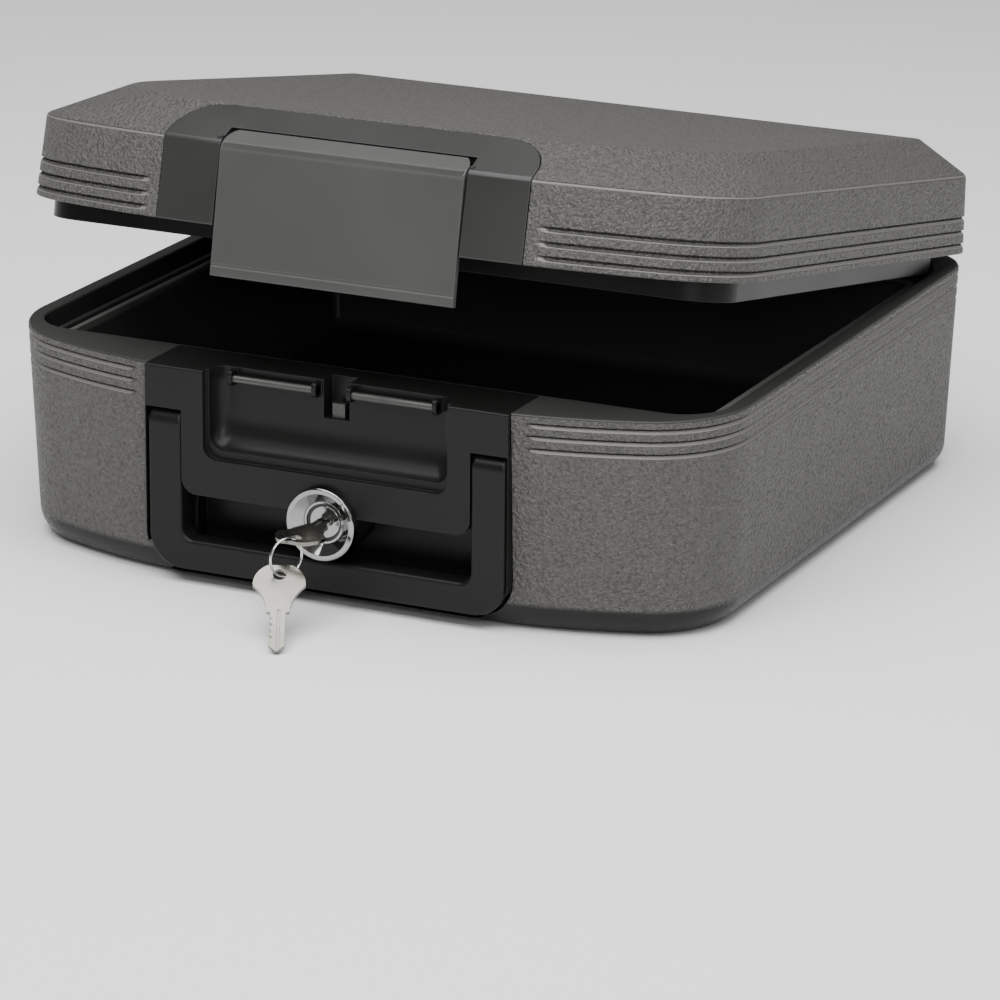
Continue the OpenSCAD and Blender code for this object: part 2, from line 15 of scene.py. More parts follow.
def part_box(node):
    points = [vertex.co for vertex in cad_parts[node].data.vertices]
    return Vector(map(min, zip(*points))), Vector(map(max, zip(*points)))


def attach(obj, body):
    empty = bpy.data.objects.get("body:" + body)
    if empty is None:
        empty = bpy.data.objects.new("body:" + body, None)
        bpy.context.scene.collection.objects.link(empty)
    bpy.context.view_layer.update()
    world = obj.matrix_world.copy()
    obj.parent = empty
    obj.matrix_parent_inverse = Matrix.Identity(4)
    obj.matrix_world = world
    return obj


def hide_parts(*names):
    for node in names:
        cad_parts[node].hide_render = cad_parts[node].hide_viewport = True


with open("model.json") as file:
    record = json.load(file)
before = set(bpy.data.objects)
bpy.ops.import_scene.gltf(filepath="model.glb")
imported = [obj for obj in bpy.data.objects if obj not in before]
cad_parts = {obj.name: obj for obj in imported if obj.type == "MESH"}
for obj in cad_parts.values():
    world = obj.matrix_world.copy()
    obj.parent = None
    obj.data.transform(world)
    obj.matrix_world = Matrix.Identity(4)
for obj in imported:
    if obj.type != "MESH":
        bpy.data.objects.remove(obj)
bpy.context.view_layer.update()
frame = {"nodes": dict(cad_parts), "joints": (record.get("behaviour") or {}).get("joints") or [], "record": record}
MM = 0.001
JOINTS = {j["name"]: j for j in frame["joints"]}


def box_mm(node):
    """The CAD node's lowest and highest corners in millimetres."""
    lo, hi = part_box(node)
    return lo / MM, hi / MM


def joint_mm(name):
    return Vector(JOINTS[name]["pos_m"]) / MM


# Case, from the frame
SHELL_HI = box_mm("base_shell")[1]
PANEL_LO, PANEL_HI = box_mm("front_panel")
HALF_W = SHELL_HI.x
BACK = SHELL_HI.y
FRONT = PANEL_LO.y
RIM = PANEL_HI.z
PANEL_HALF = PANEL_HI.x
HINGE = joint_mm("lid_hinge")
LID_REST = -JOINTS["lid_hinge"]["range_deg"][0]
LOCK_Z = joint_mm("lock_turn").z

# Case outline
FLAT_HALF = 62  # half the straight run in the middle of the front
GENTLE_R = 275  # the front's long curves beside it
TIGHT_R = 53  # the front corners
REAR_R = 30
WALL = 3
BOTTOM_R = 14
CAP_IN = 46  # inset of the flat caps that close the bottom and the lid's top
BASE_DRAFT = 5
PANEL_GAP = 0.3  # between the shell and the front moulding
POCKET_DEPTH = 46.5  # closed pocket behind the front moulding
POCKET_IN = 43.5
PAD_X, PAD_HALF, PAD_T = 118, 22, 5  # flat pads under the hinge leaves
PAD_LOW, PAD_HIGH = 56, 98

# Rim
DECK = 36  # depth of the front moulding's flat top
FLANGE = 9
GROOVE_FLOOR = RIM - 11.5
GROOVE_W = 5
RIB_TOP = RIM - 7
RIB_END = 8.4
LEDGE = RIM - 10
SKIRT_IN = 3.4  # the liner's skirt, just inside the shell
EDGE_IN = 0.5
TUB_EDGE = 15  # where the tub's wall starts, in from the land
TUB_WALL = 2.5
TUB_FLOOR = 38
TUB_SLOPE = 10
TUB_CAP = 70
LAND_FRONT = FRONT + DECK + 1.5
LAND_BACK = BACK - 20
LAND_R = 24

# Lid, closed
LID_Z = RIM + 0.4
LID_CORNER = LID_Z + 41
BEVEL_W, BEVEL_H = 29, 17
LID_TOP = LID_CORNER + BEVEL_H
LID_DRAFT = 2.3
LID_EDGE_IN = 2.6
LID_EDGE_R = 0.9
LID_CORNER_R = 3.5
LID_TOP_R = 5
LID_WALL = (LID_Z + 2, LID_Z + 22.5)  # the band of wall that has the grooves
TOP_ROUND = 61  # how much rounder the front corners are at the top

# Cover round the flap
COVER_DEPTH = 27.5
COVER_R = 18
COVER_GAP = 0.4
COVER_PROUD = 0.15
FLAP_ROOM_R = 10.4  # the flap's barrel turns in this

# Front moulding, lock and handle
PANEL_FOOT = 6
PANEL_R = 20
RECESS_HALF = 66.5
RECESS_DEPTH = 14
RECESS_FLOOR = 66
RECESS_R = 7
FRAME_SIDE = 1.6
FRAME_LIP = 4.5
FRAME_T = 3.8
COVE_R = 16
SIDE_COVE = 7
SLOT_HALF, SLOT_LOW, SLOT_DEPTH = 7, 91.5, 23.5  # for the bolt and the flap's eye
GRIP_TOP = 47
GRIP_HALF = 77.5
GRIP_DEPTH = 24
GRIP_R = 9
CHANNEL_DEPTH = 14.2
CHANNEL_TOP = 89.5
CHANNEL_GAP = 0.2
CHANNEL_R = 19
HANDLE_OUT = 97.3
LEG_W = 18.4
BAR_TOP = 23
HANDLE_LOW = 7
HANDLE_R = 18
HANDLE_IN_R = 6
HANDLE_T = 12.5
HANDLE_AXIS = joint_mm("handle_pivot")
HANDLE_END_R = 7.4
HANDLE_SOFT = 1.7
LUG_HALF = 1.1
LUG_X = 9.4

# Lock
BEZEL_R = 18.5
BEZEL_OUT = 4.6
BEZEL_HOLE = 9.5
BOSS_R = 17
LOCK_HOLE = 11.2
DISH_R = 15.7
PLUG_R = 8.2
PLUG_STEM_R = 4
PLUG_STEM = 7.6
KEYWAY = (3.9, 1.2)
KEYWAY_DEPTH = 24

# Flap
FLAP_HALF = 65.5
FLAP_T = 3.4
FLAP_LOW = 87
FLAP_END = 12
FLAP_END_R = 9
FLAP_AXIS_Y = FRONT + 8
FLAP_AXIS_Z = LID_CORNER - 3
BARREL_R = 3.9
FLAP_PIN_R = 2.05
CREASE_R = 0.95
CATCH_W = 26


# ---------------------------------------------------------------- shape helpers

# A point from the two coordinates of a flat outline and the place along the axis
ALONG = {
    "x": lambda a, b, t: (t, a, b),
    "y": lambda a, b, t: (a, t, b),
    "z": lambda a, b, t: (a, b, t),
}
WELD = 1e-7


def arc(cx, cy, r, start, end, steps):
    """Points on an arc, angles in degrees."""
    turns = [math.radians(start + (end - start) * i / steps) for i in range(steps + 1)]
    return [(cx + r * math.cos(a), cy + r * math.sin(a)) for a in turns]


def mirrored(points):
    return [(-x, y) for x, y in reversed(points)]


def spaced(a, b, steps):
    """Points from a towards b, b left out."""
    return [(a[0] + (b[0] - a[0]) * i / steps, a[1] + (b[1] - a[1]) * i / steps)
            for i in range(steps)]


def case_outline(d, extra=0.0):
    """The case outline moved in by d, front middle to back and round again.

    The corner arc at the front is larger by extra.
    """
    r = TIGHT_R - d + extra
    side, reach = HALF_W - d - r - FLAT_HALF, GENTLE_R - d - r
    end = math.acos(side / reach)
    gentle_y = FRONT + GENTLE_R
    half = arc(FLAT_HALF, gentle_y, GENTLE_R - d, -90, -math.degrees(end), 40)
    half += arc(FLAT_HALF + side, gentle_y - reach * math.sin(end), r, -math.degrees(end), 0, 20)
    rear = max(REAR_R - d, 0.5)
    half += arc(HALF_W - d - rear, BACK - d - rear, rear, 0, 90, 12)
    return half + mirrored(half)


def land_outline(d):
    """The land inside the rim, moved in by d, with as many points as case_outline."""
    x, r = HALF_W - FLANGE - d, max(LAND_R - d, 4)
    front, back = LAND_FRONT + d, LAND_BACK - d
    half = spaced((FLAT_HALF, front), (x - r, front), 41)
    half += arc(x - r, front + r, r, -90, 0, 20)
    half += arc(x - r, back - r, r, 0, 90, 12)
    return half + mirrored(half)


def round_rect(x0, y0, x1, y1, radius, steps=10):
    """A rectangle with one radius, or four from the lower left, anticlockwise."""
    radii = radius if isinstance(radius, tuple) else (radius,) * 4
    places = [(x0, y0, 1, 1, 180), (x1, y0, -1, 1, 270), (x1, y1, -1, -1, 0), (x0, y1, 1, -1, 90)]
    points = []
    for r, (x, y, sx, sy, start) in zip(radii, places):
        points += arc(x + sx * r, y + sy * r, r, start, start + 90, steps) if r else [(x, y)]
    return points


def softened(corners, steps=6):
    """A polyline of (a, b, radius) with each inner corner rounded."""
    straight = 1.55  # half the angle of a corner too open to round
    points = [corners[0][:2]]
    for before, here, after in zip(corners, corners[1:], corners[2:]):
        p, r = Vector(here[:2]), here[2]
        u = (Vector(before[:2]) - p).normalized()
        v = (Vector(after[:2]) - p).normalized()
        half = 0.5 * u.angle(v)
        if not r or half > straight:
            points.append(tuple(p))
            continue
        reach = r / math.tan(half)
        centre = p + (u + v).normalized() * (r / math.sin(half))
        start, end = p + u * reach - centre, p + v * reach - centre
        sweep = start.angle(end)
        for i in range(steps + 1):
            t = i / steps
            q = start * math.sin((1 - t) * sweep) + end * math.sin(t * sweep)
            points.append(tuple(centre + q / math.sin(sweep)))
    return points + [corners[-1][:2]]


def make(name, verts, faces):
    """An object from millimetre points."""
    mesh = bpy.data.meshes.new(name)
    mesh.from_pydata([Vector(v) * MM for v in verts], [], faces)
    bm = bmesh.new()
    bm.from_mesh(mesh)
    bmesh.ops.remove_doubles(bm, verts=bm.verts, dist=WELD)
    bmesh.ops.recalc_face_normals(bm, faces=bm.faces)
    bm.to_mesh(mesh)
    bm.free()
    obj = bpy.data.objects.new(name, mesh)
    bpy.context.scene.collection.objects.link(obj)
    return obj


def stacked(name, rows):
    """A solid through loops of 3-D points, capped at both ends."""
    n = len(rows[0])
    verts = [p for row in rows for p in row]
    faces = [(a * n + i, a * n + (i + 1) % n, (a + 1) * n + (i + 1) % n, (a + 1) * n + i)
             for a in range(len(rows) - 1) for i in range(n)]
    faces += [tuple(range(n)), tuple(range(len(verts) - n, len(verts)))]
    return make(name, verts, faces)


def prism(name, points, lo, hi, axis="y"):
    """A flat outline pushed from lo to hi: in front view along y, in plan z, in side view x."""
    return stacked(name, [[ALONG[axis](a, b, t) for a, b in points] for t in (lo, hi)])


def block(lo, hi):
    return prism("block", round_rect(lo[0], lo[2], hi[0], hi[2], 0), lo[1], hi[1])


def lathe(name, profile, centre, axis="y", steps=96):
    """A solid of revolution from (radius, place along the axis).

    centre is the other two coordinates.
    """
    rows = []
    for r, t in profile:
        ring = [(centre[0] + r * math.cos(2 * math.pi * i / steps),
                 centre[1] + r * math.sin(2 * math.pi * i / steps)) for i in range(steps)]
        rows.append([ALONG[axis](a, b, t) for a, b in ring])
    return stacked(name, rows)


def rod(axis, start, end, centre, r):
    return lathe("rod", [(r, start), (r, end)], centre, axis, 64)


def combine(obj, tools, operation):
    """Applies a boolean with each tool to obj. The tools are used up."""
    for tool in tools:
        modifier = obj.modifiers.new("boolean", "BOOLEAN")
        modifier.operation = operation
        modifier.solver = "MANIFOLD"
        modifier.object = tool
        bpy.context.view_layer.update()
        seen = obj.evaluated_get(bpy.context.evaluated_depsgraph_get())
        done = bpy.data.meshes.new_from_object(seen)
        obj.modifiers.clear()
        obj.data = done
        bpy.data.objects.remove(tool)
    return obj


def joined(obj, *others):
    return combine(obj, others, "UNION")


def cut(obj, *tools):
    return combine(obj, tools, "DIFFERENCE")


def keep_inside(obj, tool):
    return combine(obj, [tool], "INTERSECT")


def rounded(obj, width, angle, segments=3):
    """Rounds the edges sharper than an angle with real geometry."""
    modifier = obj.modifiers.new("edges", "BEVEL")
    modifier.width = width * MM
    modifier.segments = segments
    modifier.limit_method = "ANGLE"
    modifier.angle_limit = math.radians(angle)
    modifier.harden_normals = False
    return obj


def lid_turn():
    """The turn from the closed lid to where it stands at rest."""
    pivot = Matrix.Translation(HINGE * MM)
    return pivot @ Matrix.Rotation(math.radians(-LID_REST), 4, "X") @ pivot.inverted()


def dress(obj, name, body, slot, replaced=(), turn=None, crease=30):
    """Names the piece, turns it to rest, gives it its finish and ties it to its CAD body."""
    obj.name = obj.data.name = name
    if turn:
        obj.data.transform(turn)
    for face in obj.data.polygons:
        face.use_smooth = True
    obj.data.set_sharp_from_angle(angle=math.radians(crease))
    normals = obj.modifiers.new("normals", "WEIGHTED_NORMAL")
    normals.keep_sharp = True
    obj.data.materials.clear()
    obj.data.materials.append(FINISH[slot])
    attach(obj, body)
    if replaced:
        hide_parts(*replaced)


# ---------------------------------------------------------------- finishes

SHELL_GREY = (0.088, 0.086, 0.080)
# painted shadow: near black for the rounded foot of the base, which falls in shade
FOOT_SHADOW_BLACK = (0.004, 0.004, 0.0038)
GRAIN = 640
BAND_TOP = 14
BAND_SOFT = 1.2


def shade(colour, factor, lift=0.0):
    return [c * factor + lift for c in colour]


class Finish:
    """A small wrapper that builds one procedural material."""

    def __init__(self, name, colour, metallic=0.0, specular=0.5):
        self.material = bpy.data.materials.new(name)
        self.material.use_nodes = True
        self.tree = self.material.node_tree
        self.shader = self.tree.nodes["Principled BSDF"]
        self.shader.inputs["Metallic"].default_value = metallic
        self.shader.inputs["Specular IOR Level"].default_value = specular
        self.coordinates = self.add("ShaderNodeTexCoord")
        self.place = self.coordinates.outputs["Object"]
        self.colour = self.constant_colour(colour)
        self.roughness = None
        self.height = None
        self.rounded_normal = None

    def add(self, kind, **values):
        node = self.tree.nodes.new(kind)
        for key, value in values.items():
            setattr(node, key, value)
        return node

    def link(self, source, target):
        self.tree.links.new(source, target)

    def constant_colour(self, colour):
        node = self.add("ShaderNodeRGB")
        node.outputs[0].default_value = (*colour, 1)
        return node.outputs[0]

    def noise(self, scale, detail=3, stretch=None, distortion=0.0):
        node = self.add("ShaderNodeTexNoise")
        node.inputs["Scale"].default_value = scale
        node.inputs["Detail"].default_value = detail
        node.inputs["Distortion"].default_value = distortion
        source = self.place
        if stretch:
            mapping = self.add("ShaderNodeMapping")
            mapping.inputs["Scale"].default_value = stretch
            self.link(self.place, mapping.inputs["Vector"])
            source = mapping.outputs["Vector"]
        self.link(source, node.inputs["Vector"])
        return node.outputs["Fac"]

    def cells(self, scale, wobble):
        """Distance from the middle of soft cells, whose edges wobble by a share of their size."""
        node = self.add("ShaderNodeTexVoronoi", feature="SMOOTH_F1")
        node.inputs["Scale"].default_value = scale
        offset = self.add("ShaderNodeTexNoise")
        offset.inputs["Scale"].default_value = scale * 0.45
        self.link(self.place, offset.inputs["Vector"])
        push = self.add("ShaderNodeVectorMath", operation="MULTIPLY_ADD")
        push.inputs[1].default_value = (wobble / scale,) * 3
        self.link(offset.outputs["Color"], push.inputs[0])
        self.link(self.place, push.inputs[2])
        self.link(push.outputs[0], node.inputs["Vector"])
        return node.outputs["Distance"]

    def ranged(self, source, low, high, to_low=0.0, to_high=1.0, smooth=False):
        """Maps low..high to to_low..to_high, and holds the ends."""
        node = self.add("ShaderNodeMapRange")
        if smooth:
            node.interpolation_type = "SMOOTHSTEP"
        limits = {"From Min": low, "From Max": high, "To Min": to_low, "To Max": to_high}
        for key, value in limits.items():
            node.inputs[key].default_value = value
        self.link(source, node.inputs["Value"])
        return node.outputs["Result"]

    def maths(self, operation, a, b):
        node = self.add("ShaderNodeMath", operation=operation)
        for value, socket in ((a, node.inputs[0]), (b, node.inputs[1])):
            if isinstance(value, (int, float)):
                socket.default_value = value
            else:
                self.link(value, socket)
        return node.outputs[0]

    def tint(self, mask, colour):
        """Mixes a colour over the present one where the mask is 1."""
        node = self.add("ShaderNodeMix", data_type="RGBA")
        self.link(mask, node.inputs["Factor"])
        self.link(self.colour, node.inputs[6])
        node.inputs[7].default_value = (*colour, 1)
        self.colour = node.outputs[2]

    def edges(self, radius):
        """Rounds the shading of the edges, and gives a mask that is 1 on the sharp ones."""
        bevel = self.add("ShaderNodeBevel")
        bevel.samples = 4
        bevel.inputs["Radius"].default_value = radius * MM
        flat = self.add("ShaderNodeNewGeometry")
        dot = self.add("ShaderNodeVectorMath", operation="DOT_PRODUCT")
        self.link(bevel.outputs["Normal"], dot.inputs[0])
        self.link(flat.outputs["Normal"], dot.inputs[1])
        self.rounded_normal = bevel.outputs["Normal"]
        return self.ranged(dot.outputs["Value"], 0.999, 0.9)

    def finish(self, bump, strength):
        """Connects colour, roughness and bump. bump is the relief's height in millimetres."""
        relief = self.add("ShaderNodeBump")
        relief.inputs["Distance"].default_value = bump * MM
        relief.inputs["Strength"].default_value = strength
        self.link(self.height, relief.inputs["Height"])
        if self.rounded_normal:
            self.link(self.rounded_normal, relief.inputs["Normal"])
        self.link(self.colour, self.shader.inputs["Base Color"])
        self.link(self.roughness, self.shader.inputs["Roughness"])
        self.link(relief.outputs["Normal"], self.shader.inputs["Normal"])
        return self.material


def grained_shell():
    """Leather-grained grey moulding, smooth on its lips, which are painted lighter as a highlight, and with a
    smooth band round its foot painted near black as shadow.
    """
    f = Finish("textured_shell", SHELL_GREY, specular=0.3)
    pebble = f.ranged(f.cells(GRAIN, 1.1), 0.75, 0.12)
    wrinkle = f.noise(GRAIN * 1.5, 2, distortion=0.6)
    relief = f.maths("ADD", f.maths("MULTIPLY", pebble, 0.65), f.maths("MULTIPLY", wrinkle, 0.7))
    # dark between the grains, pale flecks, and a slow unevenness over all of it
    f.tint(f.ranged(relief, 0.7, 0.3, 0, 0.5), shade(SHELL_GREY, 0.35))
    f.tint(f.ranged(f.noise(GRAIN * 1.9, 1), 0.6, 0.72, 0, 0.4), shade(SHELL_GREY, 2.8))
    f.tint(f.ranged(f.noise(7, 4), 0.35, 0.75, 0, 0.12), shade(SHELL_GREY, 0.7))
    # the rounded lips beside the grooves face partly up, and are smooth; they are also painted lighter, a painted
    # highlight from the light above
    facing = f.add("ShaderNodeSeparateXYZ")
    f.link(f.coordinates.outputs["Normal"], facing.inputs[0])
    up = facing.outputs["Z"]
    lip = f.maths("MULTIPLY", f.ranged(up, 0.26, 0.36), f.ranged(up, 0.7, 0.6))
    height = f.add("ShaderNodeSeparateXYZ")
    f.link(f.place, height.inputs[0])
    band = f.ranged(height.outputs["Z"], (BAND_TOP + BAND_SOFT) * MM, (BAND_TOP - BAND_SOFT) * MM,
                    smooth=True)
    # painted highlight: the up-facing lips are painted twice as light
    f.tint(f.maths("MULTIPLY", lip, 0.8), shade(SHELL_GREY, 2.0))
    # painted shadow: below BAND_TOP the foot is painted near black (it is also kept smooth)
    f.tint(band, FOOT_SHADOW_BLACK)
    smooth = f.maths("MAXIMUM", band, lip)
    f.roughness = f.maths("SUBTRACT", f.ranged(relief, 0.3, 0.9, 0.62, 0.40),
                          f.maths("MULTIPLY", smooth, 0.12))
    f.height = f.maths("MULTIPLY", relief, f.ranged(smooth, 0, 1, 1, 0.05))
    f.edges(0.8)
    return f.finish(2.2, 1.0)


def moulded(name, colour, roughness, edge_highlight=0.25, specular=0.3):
    """Satin moulded plastic: fine spark texture, faint handling marks and a painted highlight that brightens the
    edges.
    """
    f = Finish(name, colour, specular=specular)
    # painted highlight along the sharp edges, patchy in strength
    patchy_highlight = f.ranged(f.noise(90, 3), 0.3, 0.7, edge_highlight * 0.5, edge_highlight)
    f.tint(f.maths("MULTIPLY", f.edges(0.7), patchy_highlight), shade(colour, 2.2, 0.03))
    marks = f.noise(14, 5, distortion=0.6)
    f.tint(f.ranged(marks, 0.4, 0.75, 0, 0.22), shade(colour, 1.25, 0.004))
    f.roughness = f.ranged(marks, 0.3, 0.75, roughness - 0.05, roughness + 0.08)
    f.height = f.noise(2600, 2)
    return f.finish(0.05, 0.5)


def metal(name, colour, roughness, stretch=None, scratches=0.4):
    """Plated or brushed metal with fine scratches and uneven polish."""
    f = Finish(name, colour, metallic=1.0)
    grain = f.noise(900, 4, stretch)
    cloud = f.noise(40, 4)
    f.tint(f.ranged(cloud, 0.35, 0.7, 0, 0.45), shade(colour, 0.65))
    uneven = f.ranged(cloud, 0.3, 0.7, roughness * 0.75, roughness * 1.35)
    scratched = f.ranged(grain, 0.5, 0.75, 0, roughness * scratches)
    f.roughness = f.maths("ADD", uneven, scratched)
    f.height = grain
    f.edges(0.3)
    return f.finish(0.012, 0.5)


def porous(name, colour, scale):
    """Cast fill or foam rubber."""
    f = Finish(name, colour)
    pores = f.cells(scale, 0.5)
    f.tint(f.ranged(pores, 0.1, 0.4, 0.5, 0), shade(colour, 0.6))
    f.roughness = f.ranged(pores, 0, 0.6, 0.95, 0.78)
    f.height = pores
    return f.finish(0.2, 0.6)


FINISH = {
    "textured_shell": grained_shell(),
    "liner_plastic": moulded("liner_plastic", (0.032, 0.032, 0.0305), 0.36),
    "black_plastic": moulded("black_plastic", (0.0075, 0.0075, 0.0071), 0.32, 0.35, 0.18),
    "trim_plastic": moulded("trim_plastic", (0.025, 0.025, 0.024), 0.34, 0.6, 0.35),
    "flap_plastic": moulded("flap_plastic", (0.050, 0.0495, 0.048), 0.42, 0.5, 0.35),
    "fire_fill": porous("fire_fill", (0.48, 0.46, 0.42), 300),
    "seal_rubber": porous("seal_rubber", (0.10, 0.10, 0.095), 1400),
    "chrome": metal("chrome", (0.32, 0.32, 0.32), 0.07),
    # painted shade: zinc gets a dark grey far below its own, because the bolt it covers sits in shade deep in its
    # slot
    "zinc": metal("zinc", (0.09, 0.09, 0.087), 0.5),
    "steel": metal("steel", (0.62, 0.62, 0.62), 0.26),
    "bar_steel": metal("bar_steel", (0.10, 0.10, 0.097), 0.52, (1, 8, 8)),
    "hinge_steel": moulded("hinge_steel", (0.12, 0.12, 0.115), 0.5),
    "key_metal": metal("key_metal", (0.23, 0.225, 0.20), 0.26, (6, 1, 6), 0.7),
}


# ---------------------------------------------------------------- case

GROOVES = (RIM - 4, RIM - 10, RIM - 16.4)
LID_GROOVES = (LID_Z + 5.7, LID_Z + 12.5, LID_Z + 19.6)
GROOVE_DROP = 3.0
GROOVE_SLOT = 0.3  # share of the drop that is a full-depth slot
GROOVE_DEPTH = 2.1
GROOVE_LIP = 1.3
GROOVE_END = PANEL_HALF + 8
GROOVE_FADE = 4
FINE = 0.22  # height of a step where there are grooves


def groove_depth(z, grooves):
    """How far the wall dips in at height z: a slot under each band, then a slope back out."""
    for g in grooves:
        t = (g - z) / GROOVE_DROP
        if 0 <= t < GROOVE_SLOT:
            return GROOVE_DEPTH
        if 0 <= t < 1:
            return GROOVE_LIP * ((1 - t) / (1 - GROOVE_SLOT)) ** 1.5
    return 0


def loop_at(d, z, grooves=()):
    """The case outline at inset d and height z.

    The grooves fade out beside the front moulding, and the lid's front corners grow rounder up
    the sloped band.
    """
    dip = groove_depth(z, grooves)
    if not dip:
        extra = TOP_ROUND * min(1, max(0, (z - LID_CORNER) / (LID_TOP - LID_CORNER)))
        return [(x, y, z) for x, y in case_outline(d, extra)]
    loop = []
    for (x, y), (xi, yi) in zip(case_outline(d), case_outline(d + dip)):
        t = min(1, max(0, (abs(x) - GROOVE_END + 1) / GROOVE_FADE)) if y < 0 else 1.0
        loop.append((x + (xi - x) * t, y + (yi - y) * t, z))
    return loop


def walls(profile, grooves=()):
    """Loops along a profile of (inset, height), close together where there are grooves."""
    rows = []
    for (d0, z0), (d1, z1) in zip(profile, profile[1:]):
        near = any(min(z0, z1) < g + FINE and max(z0, z1) > g - GROOVE_DROP for g in grooves)
        steps = max(1, round(abs(z1 - z0) / FINE)) if near else 1
        rows += [loop_at(d0 + (d1 - d0) * i / steps, z0 + (z1 - z0) * i / steps, grooves)
                 for i in range(steps)]
    return rows + [loop_at(*profile[-1])]


def case_base():
    """The base's shell, with a closed pocket behind the front moulding and pads for the hinges."""
    top = RIM - 1
    outer = softened([(CAP_IN, 0, 0), (BASE_DRAFT, 0, BOTTOM_R), (0, RIM, 0)], 14)[:-1]
    outer += [(BASE_DRAFT * (1 - z / RIM), z) for z in (80, RIM - 21, RIM - 20)]
    outer += [(0.05, top - 0.4), (0.5, top)]
    shell = stacked("shell", walls(outer, GROOVES))
    inner = softened([(CAP_IN, WALL, 0), (BASE_DRAFT + WALL, WALL, BOTTOM_R - WALL),
                      (WALL, RIM, 0)], 8)
    cut(shell, stacked("hollow", walls(inner + [(WALL, RIM + 5)])))
    mouth = round_rect(-PANEL_HALF - PANEL_GAP, PANEL_FOOT - PANEL_GAP,
                       PANEL_HALF + PANEL_GAP, RIM + 30, (PANEL_R, PANEL_R, 0, 0), 16)
    cut(shell, prism("mouth", mouth, FRONT - 10, FRONT + DECK + PANEL_GAP))
    pocket = block((-PANEL_HALF - WALL, FRONT + 2, 0.5),
                   (PANEL_HALF + WALL, FRONT + POCKET_DEPTH, GROOVE_FLOOR - TUB_WALL))
    inside = softened([(CAP_IN, 1, 0), (BASE_DRAFT + 1, 1, BOTTOM_R - 1), (1, RIM, 0)], 10)
    keep_inside(pocket, stacked("inside", walls(inside + [(1, RIM + 5)])))
    cut(pocket, prism("mouth", mouth, FRONT - 10, FRONT + POCKET_IN))
    joined(shell, pocket)
    for s in (-1, 1):
        joined(shell, block((s * PAD_X - PAD_HALF, BACK - PAD_T, PAD_LOW),
                            (s * PAD_X + PAD_HALF, BACK, PAD_HIGH)))
    dress(shell, "case_base", "base", "textured_shell", ["base_shell"])


def base_rim():
    """Flange, seal groove, rib, ledge and tub as one moulded liner."""
    # up the hidden side: under the tub, out to the skirt, up to the rim
    under = [(land_outline, TUB_EDGE + TUB_SLOPE - TUB_WALL, TUB_FLOOR - TUB_WALL),
             (land_outline, TUB_EDGE - TUB_WALL, GROOVE_FLOOR - TUB_WALL),
             (case_outline, SKIRT_IN, GROOVE_FLOOR - TUB_WALL),
             (case_outline, SKIRT_IN, RIM - 1),
             (case_outline, EDGE_IN, RIM - 1)]
    rows = [[(x, y, z) for x, y in outline(d)] for outline, d, z in under]
    edge = softened([(EDGE_IN, RIM - 1, 0), (EDGE_IN, RIM, 0.8), (6, RIM, 0)], 4)
    rows += [[(x, y, z) for x, y in case_outline(d)] for d, z in edge[1:]]
    # down the seen side, each step with the radius of its corner
    steps = [(-3, RIM, 0), (0, RIM, 1.2), (0, GROOVE_FLOOR, 0.8), (GROOVE_W, GROOVE_FLOOR, 0.8),
             (GROOVE_W, RIB_TOP, 0.8), (RIB_END, RIB_TOP, 0.8), (RIB_END, LEDGE, 0.6),
             (TUB_EDGE, LEDGE, 2.0), (TUB_EDGE + TUB_SLOPE, TUB_FLOOR, 8), (TUB_CAP, TUB_FLOOR, 0)]
    rows += [[(x, y, z) for x, y in land_outline(d)] for d, z in softened(steps, 5)[1:]]
    rim = stacked("rim", rows)
    cut(rim, block((-PANEL_HALF - 0.1, FRONT - 5, 0),
                   (PANEL_HALF + 0.1, FRONT + DECK + 0.1, RIM + 5)))
    dress(rim, "base_rim", "base", "liner_plastic", ["base_tub", "rim_frame"])


def cover_plan(d):
    """The plan of the cover round the flap, larger by d."""
    half = PANEL_HALF + d
    return round_rect(-half, FRONT - 20, half, FRONT + COVER_DEPTH + d,
                      (0, 0, COVER_R, COVER_R), 14)


def case_lid():
    """The lid's shell, open where the cover sits."""
    outer = softened([(LID_EDGE_IN, LID_Z, 0), (0, LID_Z, LID_EDGE_R),
                      (LID_DRAFT, LID_CORNER, LID_CORNER_R), (BEVEL_W, LID_TOP, LID_TOP_R),
                      (CAP_IN, LID_TOP, 0)], 7)
    split = next(i for i, (_, z) in enumerate(outer) if z > LID_WALL[0])
    wall = [(LID_DRAFT * (z - LID_Z) / (LID_CORNER - LID_Z), z) for z in LID_WALL]
    shell = stacked("lid", walls(outer[:split] + wall + outer[split:], LID_GROOVES))
    inner = [(WALL, LID_Z - 5), (WALL + LID_DRAFT, LID_CORNER - 1.8),
             (WALL + BEVEL_W, LID_TOP - WALL)]
    cut(shell, stacked("hollow", walls(inner)))
    cut(shell, prism("mouth", cover_plan(COVER_GAP), LID_Z - 5, LID_TOP + 5, "z"))
    dress(shell, "case_lid", "lid", "textured_shell", ["lid_shell"], lid_turn())


